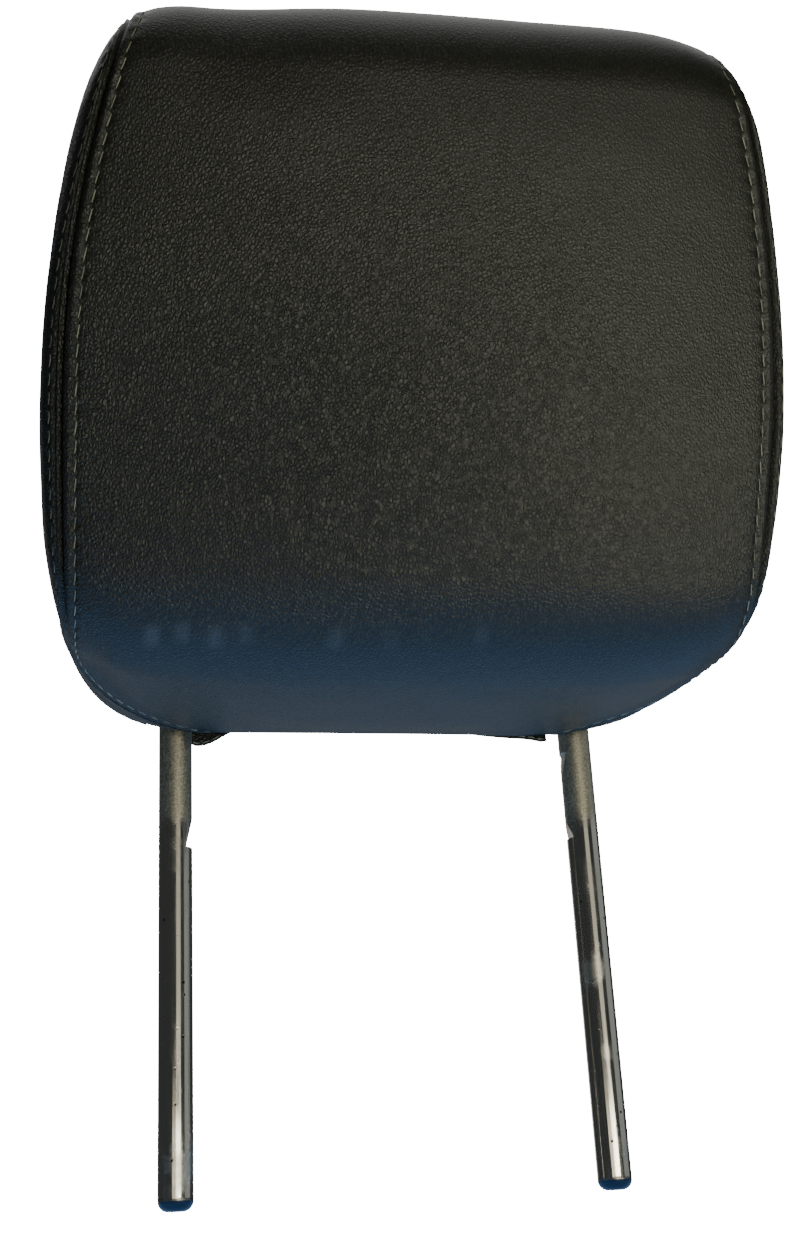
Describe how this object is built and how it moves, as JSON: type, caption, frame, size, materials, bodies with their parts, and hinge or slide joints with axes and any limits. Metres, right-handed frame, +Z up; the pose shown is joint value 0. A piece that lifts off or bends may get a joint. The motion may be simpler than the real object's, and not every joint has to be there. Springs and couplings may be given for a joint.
{
  "type": "head restraint",
  "caption": "Leather-covered head restraint: a padded cushion with topstitched side gussets tilts on the crossbar of a bent chromed stay whose notched posts plug into a seat back.",
  "frame": {"origin": "midway between the two post ends, in the plane of the posts", "axes": "+Z up along the posts, +X to the right seen from the front, and the padded face looks along -Y"},
  "size_m": [0.244, 0.2135, 0.3845],
  "materials": {
    "chrome_rod": "polished",
    "zinc_steel": "satin",
    "black_screw": "satin",
    "bush_resin": "satin",
    "core_plastic": "matte",
    "foam": "matte",
    "leather": "satin",
    "stitching": "matte",
    "strip_plastic": "satin"
  },
  "bodies": {
    "stay": {"stay_rod": "chrome_rod", "stop_lug": "zinc_steel"},
    "cushion": {"clamp_cap_left": "zinc_steel", "clamp_cap_right": "zinc_steel", "friction_bush_left": "bush_resin", "friction_bush_right": "bush_resin", "tilt_bracket": "zinc_steel", "clamp_screw_1": "black_screw", "clamp_screw_2": "black_screw", "clamp_screw_3": "black_screw", "clamp_screw_4": "black_screw", "clamp_nut_1": "zinc_steel", "clamp_nut_2": "zinc_steel", "clamp_nut_3": "zinc_steel", "clamp_nut_4": "zinc_steel", "core_screw_1": "black_screw", "core_screw_2": "black_screw", "core_screw_3": "black_screw", "core_screw_4": "black_screw", "core_shell_front": "core_plastic", "core_shell_rear": "core_plastic", "foam_pad": "foam", "cover_centre_panel": "leather", "cover_side_left": "leather", "cover_side_right": "leather", "closure_flap": "leather", "edge_strip_front": "strip_plastic", "edge_strip_rear": "strip_plastic"}
  },
  "joints": [
    {"name": "cushion_tilt", "type": "hinge", "parent": "stay", "child": "cushion", "pos_m": [0, 0, 0.2], "axis": [-1, 0, 0], "range_deg": [0, 15]}
  ]
}
